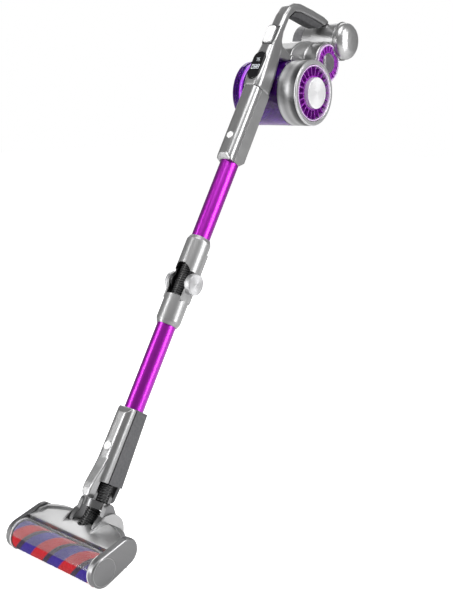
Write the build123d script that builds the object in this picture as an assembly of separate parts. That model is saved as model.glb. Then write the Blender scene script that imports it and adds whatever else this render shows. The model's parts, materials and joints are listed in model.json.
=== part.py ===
from build123d import *
import os

# Driving dimensions, in millimetres and degrees.
# The floor head is drawn in the row frame: -Y forward, +Z up, origin on the floor under the roller.
# The wand and the hand unit are drawn upright on the wand line (x across, y to the back, z along
# the line) and leaned back by LEAN about the foot of that line.
LEAN = 32.0
FOOT_Y = 69.7
FOOT_Z = 50.0
GAP = 0.4

TUBE_R = 19.5
TUBE_WALL = 1.2
SOCKET_R = TUBE_R + 0.3
DUCT_R = 16.0

HEAD_HALF = 125.0
CAP_INNER = 113.0
CAP_FRONT_R = 30.0
CAP_FRONT_Z = 30.1
CAP_BACK_R = 27.0
ROLLER_HALF = 109.0
CAP_BACK_Y = 56.0
CAP_BACK_Z = 47.0
COVER_TOP = 66.0
RIM_TOP = 70.0
SCREW_XS = (-96, -40, 40, 96)
SCREW_Y = 46.0
ROLLER_R = 28.2
ROLLER_Z = 28.7
CORE_R = 21.0
WINDOW_R = 33.0
WINDOW_Y = 1.5
PITCH_Y = 88.0
PITCH_Z = 46.0
DISC_R = 38.0
PIN_R = 5.0
PIN_PLAY = 0.05
WHEEL_R = 8.5
WHEEL_X = 60.0
WHEEL_Y = 70.0

LEAN_AXIS_Z = 67.0
HEAD_NECK_LOW = 92.0
HEAD_NECK_SHOULDER = 231.0
HEAD_NECK_TOP = 243.0
HEAD_BUTTON_Z = 160.0
LOWER_TUBE_LOW = 204.0
JOINT_LOW = 424.0
FOLD_Z = 518.0
JOINT_TOP = 617.0
JOINT_R = 25.5
UPPER_TUBE_TOP = 862.0
MAIN_NECK_LOW = 790.0
MAIN_NECK_TOP = 962.0
WAND_BUTTON_Z = 842.0
NECK_HALF = 21.5
CREASE = -11.0

POST_HALF = 15.0
LENS_HALF_WIDTH = 15.0
LENS_HALF_HEIGHT = 33.0
DISPLAY_Z = 1008.0
SWITCH_Z = 1086.0
CUP_Y = 86.3
CUP_Z = 1014.3
CUP_R = 69.2
CUP_WALL = 2.2
CUP_LEFT = -88.0
CUP_RIGHT = 28.0
DRUM_RIGHT = 77.0
HINGE_PIN_R = 1.6
HINGE_X = CUP_LEFT - 1
HINGE_Z = CUP_Z + CUP_R + 6
LATCH_X = -91.5
LATCH_Z = CUP_Z - CUP_R - 5.5
MOTOR_Y = 132.0
MOTOR_Z = 1120.0
MOTOR_R = 44.0
MOTOR_HALF = 42.0
MOTOR_BORE = 34.0
EXHAUST_R = 40.6
DOME_R = 22.0
BATTERY_Y = 155.0
BATTERY_Z = 1193.0
BATTERY_R = 39.0
SLEEVE_R = 42.5
SLEEVE_LEFT = -18.0
SLEEVE_HALF = 44.0
BATTERY_LEFT = -68.0


# Shared shapes


def rod_x(radius, x0, x1, y, z):
    return Pos((x0 + x1) / 2, y, z) * Rot(0, 90, 0) * Cylinder(radius, x1 - x0)


def rod_y(radius, y0, y1, x, z):
    return Pos(x, (y0 + y1) / 2, z) * Rot(90, 0, 0) * Cylinder(radius, y1 - y0)


def rod_z(radius, z0, z1, x=0, y=0):
    return Pos(x, y, (z0 + z1) / 2) * Cylinder(radius, z1 - z0)


def block(x0, x1, y0, y1, z0, z1):
    return Pos((x0 + x1) / 2, (y0 + y1) / 2, (z0 + z1) / 2) * Box(x1 - x0, y1 - y0, z1 - z0)


def polygon(points):
    return make_face(Polyline(*points, close=True))


def side_plate(face, x0, x1):
    """Extrude a face drawn in (y, z) across from x0 to x1."""
    plane = Plane(origin=(x0, 0, 0), x_dir=(0, 1, 0), z_dir=(1, 0, 0))
    return extrude(plane * face, amount=x1 - x0)


def front_plate(face, y0, y1):
    """Extrude a face drawn in (x, z) back from y0 to y1."""
    plane = Plane(origin=(0, y0, 0), x_dir=(1, 0, 0), z_dir=(0, -1, 0))
    return extrude(plane * face, amount=y0 - y1)


def turned_x(points, y, z):
    """Turn an outline of (x, radius) points about a crosswise axis through (y, z)."""
    return Pos(0, y, z) * revolve(polygon(points), axis=Axis.X)


def turned_z(points):
    """Turn an outline of (radius, height) points about the wand line."""
    return revolve(Plane.XZ * polygon(points), axis=Axis.Z)


def ring_x(outer, inner, x0, x1, y, z):
    return rod_x(outer, x0, x1, y, z) - rod_x(inner, x0 - 1, x1 + 1, y, z)


def mirrored(value_pairs):
    """The same (low, high) span on both sides of x = 0, each in rising order."""
    low, high = value_pairs
    return ((low, high), (-high, -low))


def ribbed(radius, depth, pitch, z0, z1, bore):
    """A bellows along z: flat ribs that stand out by depth from the root of the folds."""
    count = int((z1 - z0) / pitch)
    step = (z1 - z0) / count
    points = [(bore, z0)]
    for index in range(count):
        low = z0 + index * step
        points += [(radius - depth, low), (radius, low + 0.3 * step), (radius, low + 0.7 * step)]
    points += [(radius - depth, z1), (bore, z1)]
    return turned_z(points)


def vanes(count, inner, outer, x0, x1, thickness, y, z):
    """Radial fins between two radii round a crosswise axis."""
    fin = block(x0, x1, inner, outer, -thickness / 2, thickness / 2)
    fins = [Pos(0, y, z) * Rot(360 * index / count, 0, 0) * fin for index in range(count)]
    return fins


def push_button(radius, front, back, height):
    button = rod_y(radius, front, back, 0, height)
    return fillet(button.faces().sort_by(Axis.Y)[0].edges(), 1.2)


def leaned(shape):
    return Pos(0, FOOT_Y, FOOT_Z) * Rot(-LEAN, 0, 0) * shape


# Necks: the two-shell sockets that hold the wand tubes, in wand coordinates


def front_shell(outline, half):
    """Front moulding of a neck, narrower than the rear one, with round front corners."""
    shell = side_plate(polygon(outline), 1.2 - half, half - 1.2)
    corners = shell.edges().filter_by(
        lambda edge: edge.center().Y < CREASE - 8
        and abs(edge.center().X) > half - 1.3
        and edge.bounding_box().size.Z > 40
    )
    return fillet(corners, 13)


def rear_shell(outline, half):
    """Rear moulding of a neck, flat sided with softened back corners."""
    shell = side_plate(polygon(outline), -half, half)
    corners = shell.edges().filter_by(
        lambda edge: edge.center().Y > 15
        and abs(edge.center().X) > half - 0.1
        and edge.bounding_box().size.Z > 40
    )
    return fillet(corners, 6)


def hanging_arm(tip_radius, root_half, root_z, y0, y1):
    """A flat arm that reaches down to a round end on the side-tilt axis."""
    outline = Pos(0, LEAN_AXIS_Z) * Circle(tip_radius) + polygon([
        (-tip_radius, LEAN_AXIS_Z), (tip_radius, LEAN_AXIS_Z),
        (root_half, root_z), (-root_half, root_z),
    ])
    return front_plate(outline, y0, y1)


def front_tongue():
    """The thick front arm: it swells forward on its way down to the side-tilt pin."""
    swell = side_plate(polygon([
        (-24.6, 50), (-34, 50), (-41, 58), (-43.5, 72), (-42.5, 84), (-34.5, 118), (-31, 138),
        (-24.6, 138),
    ]), -20, 20)
    tongue = hanging_arm(11, 14, 138, -46, -24.6) & swell
    rims = tongue.edges().filter_by(
        lambda edge: edge.center().Y < -32 and abs(edge.center().X) > 8
    )
    return fillet(rims, 1.5)


def head_neck_parts():
    low, shoulder, top = HEAD_NECK_LOW, HEAD_NECK_SHOULDER, HEAD_NECK_TOP
    bores = (
        rod_z(SOCKET_R, LOWER_TUBE_LOW - 0.5, top + 1) + rod_z(DUCT_R, low - 1, LOWER_TUBE_LOW)
    )
    front = front_shell([
        (CREASE, low), (-32, low), (-30, shoulder), (-22, top), (CREASE, top),
    ], NECK_HALF)
    front_pin = rod_y(PIN_R, -26, -17.4, 0, LEAN_AXIS_Z)
    front = front + front_tongue() + front_pin - bores
    front = front - rod_y(8.5 + GAP, -40, -23.2, 0, HEAD_BUTTON_Z)

    rear = rear_shell([
        (CREASE, low), (31, low), (24, shoulder), (20.8, top), (CREASE, top),
    ], NECK_HALF)
    arm = hanging_arm(9, 13, 116, 26.6, 36)
    arm = fillet(arm.faces().sort_by(Axis.Y)[-1].edges(), 3)
    rear_pin = rod_y(PIN_R, 17.4, 27.5, 0, LEAN_AXIS_Z)
    rear = rear + arm + rear_pin - bores
    return {
        "neck_front_shell": front,
        "neck_rear_shell": rear,
        "head_release_button": push_button(8.5, -33.8, -26, HEAD_BUTTON_Z),
        "lean_bellows": ribbed(16.6, 2.4, 5.4, 56, HEAD_NECK_LOW - 0.2, 12.5),
    }


def main_neck_parts():
    low, top = MAIN_NECK_LOW, MAIN_NECK_TOP
    bores = rod_z(SOCKET_R, low - 1, UPPER_TUBE_TOP + 0.5) + rod_z(15.4, UPPER_TUBE_TOP, top + 1)
    front = front_shell([
        (CREASE, low), (-22, low), (-30, low + 10), (-30, top), (CREASE, top),
    ], NECK_HALF)
    front = front - bores - rod_y(7.5 + GAP, -40, -22.2, 0, WAND_BUTTON_Z)
    rear = rear_shell([
        (CREASE, low), (8, low), (23, low + 16), (21, top), (CREASE, top),
    ], NECK_HALF)
    rear = rear - bores
    pipe = rod_z(15.2, UPPER_TUBE_TOP + 1, 1006)
    elbow = rod_y(11, 0, 22, 0, 994)
    hollow = rod_z(13.6, UPPER_TUBE_TOP, 1004.4) + rod_y(9.5, 0, 23, 0, 994)
    return {
        "main_neck_front": front,
        "main_neck_rear": rear,
        "inlet_duct": pipe + elbow - hollow,
        "wand_release_button": push_button(7.5, -31.8, -25, WAND_BUTTON_Z),
    }


# Yoke between floor head and neck, in wand coordinates


def yoke_parts():
    pivot = Vector(0, PITCH_Y - FOOT_Y, PITCH_Z - FOOT_Z).rotate(Axis.X, LEAN)
    yoke = rod_z(26, 41, 55.5)
    for y0, y1 in ((-24, -17.4), (17.4, 26)):
        boss = rod_y(8.5, y0, y1, 0, LEAN_AXIS_Z) + block(-8.5, 8.5, y0, y1, 50, LEAN_AXIS_Z)
        yoke = yoke + boss - rod_y(PIN_R + PIN_PLAY, y0 - 1, y1 + 1, 0, LEAN_AXIS_Z)
    for inner, outer in mirrored((28, 37.5)):
        disc = rod_x(DISC_R, inner, outer, pivot.Y, pivot.Z)
        arm_face = make_hull(
            (Pos(pivot.Y, pivot.Z) * Circle(30)).edges() + (Pos(0, 47) * Circle(11)).edges()
        )
        yoke = yoke + disc + side_plate(arm_face, inner, outer)
    for inner, outer in mirrored((20, 30)):
        yoke = yoke + block(inner, outer, -9, 9, 42, 55.5)
    yoke = yoke - rod_z(DUCT_R, 30, 57)
    pins = []
    for inner, outer in mirrored((19.6, 33)):
        yoke = yoke - rod_x(PIN_R, inner, outer, pivot.Y, pivot.Z)
        pins.append(rod_x(PIN_R, inner, outer, pivot.Y, pivot.Z))
    return {"yoke": yoke, "pitch_pins": Compound(children=pins)}


# Folding wand, in wand coordinates


def wand_parts():
    tube_in = TUBE_R - TUBE_WALL
    lower_tube = rod_z(TUBE_R, LOWER_TUBE_LOW, 470) - rod_z(tube_in, 0, 600)
    upper_tube = rod_z(TUBE_R, 575, UPPER_TUBE_TOP) - rod_z(tube_in, 500, 900)

    lower = turned_z([
        (TUBE_R, JOINT_LOW), (21.5, JOINT_LOW), (JOINT_R, 434), (JOINT_R, 486), (DUCT_R, 486),
        (DUCT_R, 470), (TUBE_R, 470),
    ])
    upper = turned_z([
        (TUBE_R, JOINT_TOP), (21.5, JOINT_TOP), (JOINT_R, 608), (JOINT_R, 541), (DUCT_R, 541),
        (DUCT_R, 575), (TUBE_R, 575),
    ])
    skirt = turned_z([(20.5, 512), (JOINT_R, 512), (JOINT_R, 545), (20.5, 545)])
    upper = upper + (skirt & block(-14, 14, 8, 40, 500, 560))
    upper = upper - rod_y(22, -40, -1, 0, 533)
    pins = []
    for inner, outer in mirrored((16.8, 20.8)):
        ear = rod_x(15.5, inner, outer, 0, FOLD_Z) + block(inner, outer, -12, 15, FOLD_Z, 548)
        upper = upper + ear - rod_x(6.05, inner - 1, outer + 1, 0, FOLD_Z)
    for inner, outer in mirrored((21.3, 25.3)):
        ear = rod_x(20, inner, outer, 0, FOLD_Z) + block(inner, outer, -14, 14, 478, FOLD_Z)
        lower = lower + ear - rod_x(6, inner - 1, outer + 1, 0, FOLD_Z)
    for inner, outer in mirrored((16.8, 25.3)):
        pins.append(rod_x(6, inner, outer, 0, FOLD_Z))
    for x0, x1 in mirrored((8.6, 11)):
        upper = upper + block(x0, x1, 22.4, 29.5, 520, 592)
    slider = block(-8.3, 8.3, 25.8, 31.5, 492, 578)
    slider = fillet(slider.edges().filter_by(Axis.X).group_by(Axis.Y)[-1], 2.4)
    for index in range(6):
        slider = slider - block(-6.5, 6.5, 30.7, 32, 497 + 4 * index, 499 + 4 * index)
    knob = rod_x(22, 25.4, 36, 0, FOLD_Z)
    knob = chamfer(knob.faces().sort_by(Axis.X)[-1].edges(), 1.2)
    knob = knob - ring_x(20.4, 19.6, 35.4, 36.5, 0, FOLD_Z)
    left_cap = rod_x(20.5, -33, -25.4, 0, FOLD_Z)
    left_cap = fillet(left_cap.faces().sort_by(Axis.X)[0].edges(), 3)
    return {
        "lower_tube": lower_tube,
        "upper_tube": upper_tube,
        "lower_joint_housing": lower,
        "upper_joint_housing": upper,
        "fold_pins": Compound(children=pins),
        "fold_release_slider": slider,
        "fold_knobs": Compound(children=[knob, left_cap]),
        "fold_bellows": ribbed(15.4, 2.2, 6, 486.3, 574.5, 12),
    }


# Handle with display and switch, in wand coordinates


def rounded_loft(sections):
    """Loft through rounded rectangles given as (height, half width, front, back, corner)."""
    faces = []
    for height, half, front, back, corner in sections:
        centre = Pos(0, (front + back) / 2, height)
        faces.append(centre * RectangleRounded(2 * half, back - front, corner))
    return loft(faces)


def band_outline():
    """Side view of the post, the top bend and the silver band over the grip."""
    return polygon([
        (-26, 1060), (-23.5, 1100), (-21.5, 1142), (-16, 1165), (-5, 1181), (12, 1192.5),
        (55, 1208), (100, 1222), (120, 1224.5), (128, 1219),
        (118, 1207.5), (100, 1202), (60, 1189), (26, 1177.5), (6, 1165), (-3, 1146), (-3, 1106),
        (2, 1088), (12, 1082.5), (45, 1082.5), (45, 1064), (12, 1052),
    ])


def handle_solid(shrink):
    """The handle's outer form, or its hollow when shrink is the wall thickness."""
    sections = [
        (MAIN_NECK_TOP, 21, -30.5, 21, 11), (976, 23, -32.5, 20, 13), (1006, 22.5, -32.5, 18, 13),
        (1044, 19, -30.5, 15, 11), (1078, POST_HALF, -25.5, 8, 8),
    ]
    pod = rounded_loft([
        (height, half - shrink, front + shrink, back - shrink, corner - 0.5 * shrink)
        for height, half, front, back, corner in sections
    ])
    outline = band_outline()
    if shrink:
        outline = offset(outline, -shrink, kind=Kind.INTERSECTION)
    band = side_plate(outline, shrink - POST_HALF, POST_HALF - shrink)
    if not shrink:
        sides = band.faces().filter_by(
            lambda face: abs(abs(face.center().X) - POST_HALF) < 0.01
        )
        band = fillet(sides.edges(), 6)
    return pod + band


def handle_parts():
    clearance = (
        rod_x(CUP_R + GAP, -60, 60, CUP_Y, CUP_Z)
        + rod_x(SLEEVE_R + 0.2, -60, 60, BATTERY_Y, BATTERY_Z)
    )
    lens_seat = slot_plate(LENS_HALF_WIDTH + 0.2, LENS_HALF_HEIGHT + 0.2, -40, -29.6, DISPLAY_Z)
    bezel_seat = block(-13.2, 13.2, -40, -20, SWITCH_Z - 24.2, SWITCH_Z + 24.2)
    duct_room = rod_z(15.6, MAIN_NECK_TOP - 1, 1006.5) + rod_y(11.4, 0, 30, 0, 994)
    shell = handle_solid(0) - handle_solid(2.8) - clearance - lens_seat - bezel_seat - duct_room
    halves = {
        "handle_left": shell & block(-60, 0, -80, 160, 900, 1300),
        "handle_right": shell & block(0, 60, -80, 160, 900, 1300),
    }
    rubber = side_plate(polygon([
        (-1.2, 1148), (3, 1153), (14, 1158), (40, 1166.5), (70, 1176), (92, 1185), (104, 1196),
        (107, 1203.6), (60, 1188.8), (26.2, 1177), (6.4, 1164.6),
    ]), -13, 13)
    under = rubber.edges().filter_by(
        lambda edge: abs(edge.center().X) > 12.9 and edge.length > 8
        and edge.center().Z < 1150 + 0.4 * edge.center().Y
    )
    rubber = fillet(under, 3)
    bezel = block(-13, 13, -28.5, -20.4, SWITCH_Z - 24, SWITCH_Z + 24)
    bezel = fillet(bezel.edges().filter_by(Axis.Y), 6)
    switch_seat = block(-10.5, 10.5, -40, -21.2, SWITCH_Z - 20.5, SWITCH_Z + 20.5)
    switch = block(-10, 10, -32, -23.4, SWITCH_Z - 20, SWITCH_Z + 20)
    switch = fillet(switch.edges().filter_by(Axis.Y), 5)
    switch = fillet(switch.faces().sort_by(Axis.Y)[0].edges(), 1.5)
    lens = slot_plate(LENS_HALF_WIDTH, LENS_HALF_HEIGHT, -34, -30, DISPLAY_Z)
    lens = fillet(lens.faces().sort_by(Axis.Y)[0].edges(), 1.2)
    display_board = block(-9, 9, -27.8, -26.2, 984, 1032)
    main_board = block(-8, 8, -12, -10.4, 1040, 1096)
    return halves | {
        "grip_rubber": rubber,
        "switch_bezel": bezel - fillet(switch_seat.edges().filter_by(Axis.Y), 5.4),
        "power_switch": switch,
        "display_lens": lens,
        "circuit_boards": Compound(children=[display_board, main_board]),
    }


def slot_plate(half_width, half_height, y0, y1, height):
    """An upright slot-shaped plate facing front."""
    outline = Pos(0, height) * Rot(0, 0, 90) * SlotOverall(2 * half_height, 2 * half_width)
    return front_plate(outline, y0, y1)


# Dust cup, cyclone and filter, in wand coordinates


def cup_shell():
    """Clear cup open to the left, with the hinge knuckles on top of its rim."""
    y, z = CUP_Y, CUP_Z
    inner = CUP_R - CUP_WALL
    cup = ring_x(CUP_R, inner, CUP_LEFT, CUP_RIGHT, y, z)
    cup = cup + ring_x(CUP_R + 1.8, inner, CUP_LEFT, CUP_LEFT + 5, y, z)
    cup = cup + ring_x(CUP_R, 39.5, CUP_RIGHT - 3, CUP_RIGHT, y, z)
    cup = cup - rod_y(11.4, 0, 40, 0, 994)
    for y0, y1 in ((y - 15, y - 6.3), (y + 6.3, y + 15)):
        knuckle = rod_y(3.6, y0, y1, HINGE_X, HINGE_Z)
        knuckle = knuckle + block(CUP_LEFT, CUP_LEFT + 10, y0, y1, z + CUP_R - 1, HINGE_Z)
        cup = cup + knuckle - rod_y(HINGE_PIN_R, y0 - 1, y1 + 1, HINGE_X, HINGE_Z)
    return cup - rod_x(inner, CUP_LEFT - 8, CUP_RIGHT - 3.2, y, z)


def cup_lid():
    """Dished lid with a hinge arm at the top and two lugs for the latch at the bottom."""
    y, z = CUP_Y, CUP_Z
    lid = turned_x([
        (-88.4, 71), (-93, 71), (-97.5, 66), (-99, 60), (-97, 57), (-97, 30), (-99.5, 26),
        (-99.5, 0), (-96, 0), (-96, 24), (-94, 28), (-94, 58), (-92, 62), (-88.4, 62),
    ], y, z)
    arm = rod_y(3.6, y - 6, y + 6, HINGE_X, HINGE_Z)
    arm = arm + block(-95, HINGE_X, y - 6, y + 6, z + 60, HINGE_Z)
    lid = lid + (arm - rod_x(CUP_R + 2.2, -88.2, -60, y, z))
    lid = lid - rod_y(HINGE_PIN_R + 0.06, y - 40, y + 40, HINGE_X, HINGE_Z)
    for y0, y1 in ((y - 12, y - 9), (y + 9, y + 12)):
        lug = rod_y(3, y0, y1, LATCH_X, LATCH_Z)
        lug = lug + block(LATCH_X - 3, LATCH_X + 3, y0, y1, LATCH_Z, z - 66)
        lid = lid + lug - rod_y(1.56, y0 - 1, y1 + 1, LATCH_X, LATCH_Z)
    return lid


def latch_lever():
    y = CUP_Y
    latch = block(LATCH_X, -62, y - 8.6, y + 8.6, LATCH_Z - 1.6, LATCH_Z + 1.6)
    latch = latch + rod_y(2.6, y - 8.6, y + 8.6, LATCH_X, LATCH_Z)
    latch = latch + rod_y(1.5, y - 12, y + 12, LATCH_X, LATCH_Z)
    for ridge_x in (-65, -69, -73):
        latch = latch + block(
            ridge_x - 0.8, ridge_x + 0.8, y - 7, y + 7, LATCH_Z - 2.6, LATCH_Z - 1)
    return latch


def cyclone_cones():
    """Seven small cyclones hanging in one plate."""
    plate = rod_x(33, 25, 27.6, CUP_Y, CUP_Z)
    for y, z in seven_places(20.5, CUP_Y, CUP_Z):
        plate = plate - rod_x(8, 24, 29, y, z)
        plate = plate + turned_x([(25.6, 9.4), (25.6, 8), (-34, 3.2), (-34, 4.6)], y, z)
    return plate


def dust_parts():
    shroud = turned_x([
        (CUP_RIGHT - 0.2, 39), (24, 39), (20, 36), (-52, 31), (-58, 36), (-60, 36), (-60, 29),
        (18, 33.4), (CUP_RIGHT - 0.2, 33.4),
    ], CUP_Y, CUP_Z)
    return {
        "dust_cup": cup_shell(),
        "dust_cup_lid": cup_lid(),
        "lid_hinge_pin": rod_y(HINGE_PIN_R, CUP_Y - 15, CUP_Y + 15, HINGE_X, HINGE_Z),
        "lid_latch": latch_lever(),
        "cyclone_shroud": shroud,
        "cyclone_cones": cyclone_cones(),
    }


def seven_places(radius, y, z):
    """One place in the middle and six round it at a radius, as (y, z) pairs."""
    places = [(y, z)]
    for index in range(6):
        spin = Vector(radius, 0, 0).rotate(Axis.Z, 60 * index)
        places.append((y + spin.X, z + spin.Y))
    return places


def filter_parts():
    y, z = CUP_Y, CUP_Z
    drum = turned_x([
        (CUP_RIGHT + 0.4, CUP_R), (DRUM_RIGHT - 2, CUP_R), (DRUM_RIGHT, CUP_R - 2),
        (DRUM_RIGHT, 60.4), (DRUM_RIGHT - 1, 59.4), (CUP_RIGHT + 3, 59.4), (CUP_RIGHT + 3, 40),
        (CUP_RIGHT + 0.4, 40),
    ], y, z)
    face = DRUM_RIGHT - 1.5
    fin_ring = ring_x(58.6, 56, face - 12, face + 1, y, z)
    fin_ring = fin_ring + ring_x(36.4, 33.2, face - 12, face - 1, y, z)
    fin_ring = fin_ring + ring_x(57, 35, face - 12, face - 10, y, z)
    for fin in vanes(22, 35, 57, face - 11, face - 1.5, 2.0, y, z):
        fin_ring = fin_ring + fin
    disc = rod_x(32.8, face - 12, face + 9, y, z)
    disc = chamfer(disc.faces().sort_by(Axis.X)[-1].edges(), 1.5)
    pleats = 28
    star = []
    for index in range(2 * pleats):
        radius = 56 if index % 2 else 44
        tip = Vector(radius, 0, 0).rotate(Axis.Z, 180 * index / pleats)
        star.append((tip.X, tip.Y))
    paper = Pos(0, y, z) * side_plate(polygon(star), 35, face - 12.4)
    paper = paper - rod_x(38, 30, 70, y, z)
    return {
        "filter_drum": drum,
        "filter_fin_ring": fin_ring,
        "filter_disc": disc,
        "pleated_filter": paper,
    }


# Motor and battery, in wand coordinates


def motor_parts():
    y, z = MOTOR_Y, MOTOR_Z
    flank = side_plate(polygon([
        (45.4, 1064), (45.4, 1100), (58, 1126), (84, 1147), (118, 1162), (150, 1140), (120, 1085),
        (80, 1080),
    ]), -48, 10)
    flank = fillet(flank.edges().filter_by(
        lambda edge: abs(edge.center().X + 48) < 0.1 and edge.center().Z > 1090
    ), 9)
    web = side_plate(polygon([(45.4, 1062), (45.4, 1082.5), (70, 1096), (100, 1100), (100, 1075)]),
                     -12, 14.5)
    housing = rod_x(MOTOR_R, -MOTOR_HALF, MOTOR_HALF, y, z) + flank + web
    saddle = side_plate(polygon([
        (100, 1140), (112, 1163), (130, 1172), (172, 1168), (172, 1120), (150, 1110),
    ]), -36, 36)
    housing = housing + saddle
    housing = housing - rod_x(CUP_R + 0.8, -80, 80, CUP_Y, CUP_Z)
    housing = housing - rod_x(BATTERY_R + 0.1, -80, 80, BATTERY_Y, BATTERY_Z)
    housing = housing - rod_x(SLEEVE_R + 0.1, SLEEVE_LEFT - 0.1, 80, BATTERY_Y, BATTERY_Z)
    housing = housing - rod_x(MOTOR_BORE, -60, 60, y, z)
    for inner, outer in mirrored((MOTOR_HALF + 0.05, MOTOR_HALF + 20)):
        housing = housing - rod_x(EXHAUST_R + 0.4, inner, outer, y, z)
    rings = []
    domes = []
    for side in (-1, 1):
        inner, outer = sorted((side * (MOTOR_HALF + 0.1), side * (MOTOR_HALF + 5)))
        ring = ring_x(EXHAUST_R, 37.4, inner, outer, y, z)
        ring = ring + ring_x(24.5, DOME_R + 0.2, inner, outer, y, z)
        back, front = sorted((side * (MOTOR_HALF + 0.1), side * (MOTOR_HALF + 1.5)))
        ring = ring + ring_x(38, 24, back, front, y, z)
        for fin in vanes(18, 24, 38, *sorted((side * (MOTOR_HALF + 1), side * (MOTOR_HALF + 4.4))),
                         2.2, y, z):
            ring = ring + fin
        rings.append(ring - rod_x(SLEEVE_R + 0.4, -80, 80, BATTERY_Y, BATTERY_Z))
        dome = turned_x([
            (side * (MOTOR_HALF + 0.1), 0), (side * (MOTOR_HALF + 0.1), DOME_R),
            (side * (MOTOR_HALF + 4.5), DOME_R), (side * (MOTOR_HALF + 7), 18.5),
            (side * (MOTOR_HALF + 9), 12), (side * (MOTOR_HALF + 9.8), 0),
        ], y, z)
        domes.append(dome)
    can = rod_x(24, -24, 12, y, z) + rod_x(MOTOR_BORE - 0.1, -27, -24, y, z)
    for index in range(6):
        spoke = Vector(29, 0, 0).rotate(Axis.Z, 60 * index)
        can = can - rod_x(4, -28, -23.9, y + spoke.X, z + spoke.Y)
    can = can - rod_x(2.55, -40, 20, y, z)
    impeller = rod_x(32, 15, 17, y, z) + rod_x(7, 13, 30, y, z) + rod_x(2.5, -20, 30, y, z)
    for fin in vanes(9, 6, 31, 16.5, 26, 1.6, y, z):
        impeller = impeller + fin
    return {
        "motor_housing": housing,
        "exhaust_rings": Compound(children=rings),
        "exhaust_domes": Compound(children=domes),
        "fan_motor": can,
        "impeller": impeller,
    }


def battery_parts():
    y, z = BATTERY_Y, BATTERY_Z
    sleeve = ring_x(BATTERY_R, 36.6, -SLEEVE_HALF, SLEEVE_HALF, y, z)
    sleeve = sleeve + ring_x(SLEEVE_R, 36.6, SLEEVE_LEFT, SLEEVE_HALF, y, z)
    sleeve = sleeve - block(-60, -34, y - 9, y + 9, z + 20, z + 60)
    cap = turned_x([
        (SLEEVE_HALF + 0.1, 0), (SLEEVE_HALF + 0.1, BATTERY_R + 1), (54, BATTERY_R + 1.4),
        (59, BATTERY_R - 0.8), (64.5, BATTERY_R - 6.5), (69.5, BATTERY_R - 16.5),
        (72, BATTERY_R - 28), (72.6, 0),
    ], y, z)
    shell = ring_x(36, 33, -SLEEVE_HALF - 2, 42, y, z) + ring_x(
        BATTERY_R, 33, BATTERY_LEFT, -SLEEVE_HALF - 0.6, y, z)
    shell = shell + rod_x(35, 40, 42, y, z)
    boss = block(-60, -35, y - 8.4, y + 8.4, z + 30.8, z + BATTERY_R)
    shell = shell + (boss & rod_x(BATTERY_R, -80, 0, y, z)) - block(
        -58.4, -43.6, y - 7.4, y + 7.4, z + 32, z + 50)
    end_plate = rod_x(BATTERY_R - 1.5, BATTERY_LEFT - 3, BATTERY_LEFT, y, z)
    shell = shell + chamfer(end_plate.faces().sort_by(Axis.X)[0].edges(), 1)
    button = block(-58, -44, y - 7, y + 7, z + 34.4, z + BATTERY_R + 2.4)
    button = fillet(button.edges().filter_by(Axis.Z), 3)
    cells = [rod_x(9.2, -60, 10, cell_y, cell_z) for cell_y, cell_z in seven_places(19, y, z)]
    return {
        "battery_sleeve": sleeve,
        "battery_cap": cap,
        "battery_shell": shell,
        "battery_button": button,
        "battery_cells": Compound(children=cells),
    }


# Floor head, in the row frame


def head_plan(inset):
    """Half-round rear plan of the head cover, seen from above."""
    side = CAP_INNER - 1 - inset
    return polygon([
        (-side, 8), (side, 8), (side, 66 - inset), (side - 18, 78 - inset), (60, 90 - inset),
        (27, 97 - inset), (-27, 97 - inset), (-60, 90 - inset), (18 - side, 78 - inset),
        (-side, 66 - inset),
    ])


def cover_side(inset):
    """Side view of the cover: low behind the window, rising to the back, a rounded rear."""
    top = COVER_TOP - inset
    return polygon([
        (8, 12), (8, top - 5), (24, top - 2), (60, top), (86 - inset, top),
        (94 - inset, top - 6), (98 - inset, 46 - inset), (97 - inset, 26), (90 - inset, 12),
    ])


def cover_rim():
    """The raised border round the sides and back of the cover's top panel."""
    border = extrude(head_plan(0), amount=RIM_TOP) - extrude(head_plan(6), amount=RIM_TOP + 1)
    slope = side_plate(polygon([
        (30, 60), (44, RIM_TOP), (84, RIM_TOP), (92, RIM_TOP - 7), (92, 56), (30, 56),
    ]), -120, 120)
    return border & slope & block(-120, 120, 30, 92, COVER_TOP - 8, RIM_TOP)


def pivot_fin():
    """Side view of the fin that rises from the panel to shield a pivot disc."""
    profile = make_hull(
        (Pos(PITCH_Y, PITCH_Z) * Circle(DISC_R - 0.5)).edges() + (Pos(33, 60) * Circle(2)).edges()
    )
    return profile & Pos(80, 60) * Rectangle(140, 96)


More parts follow.
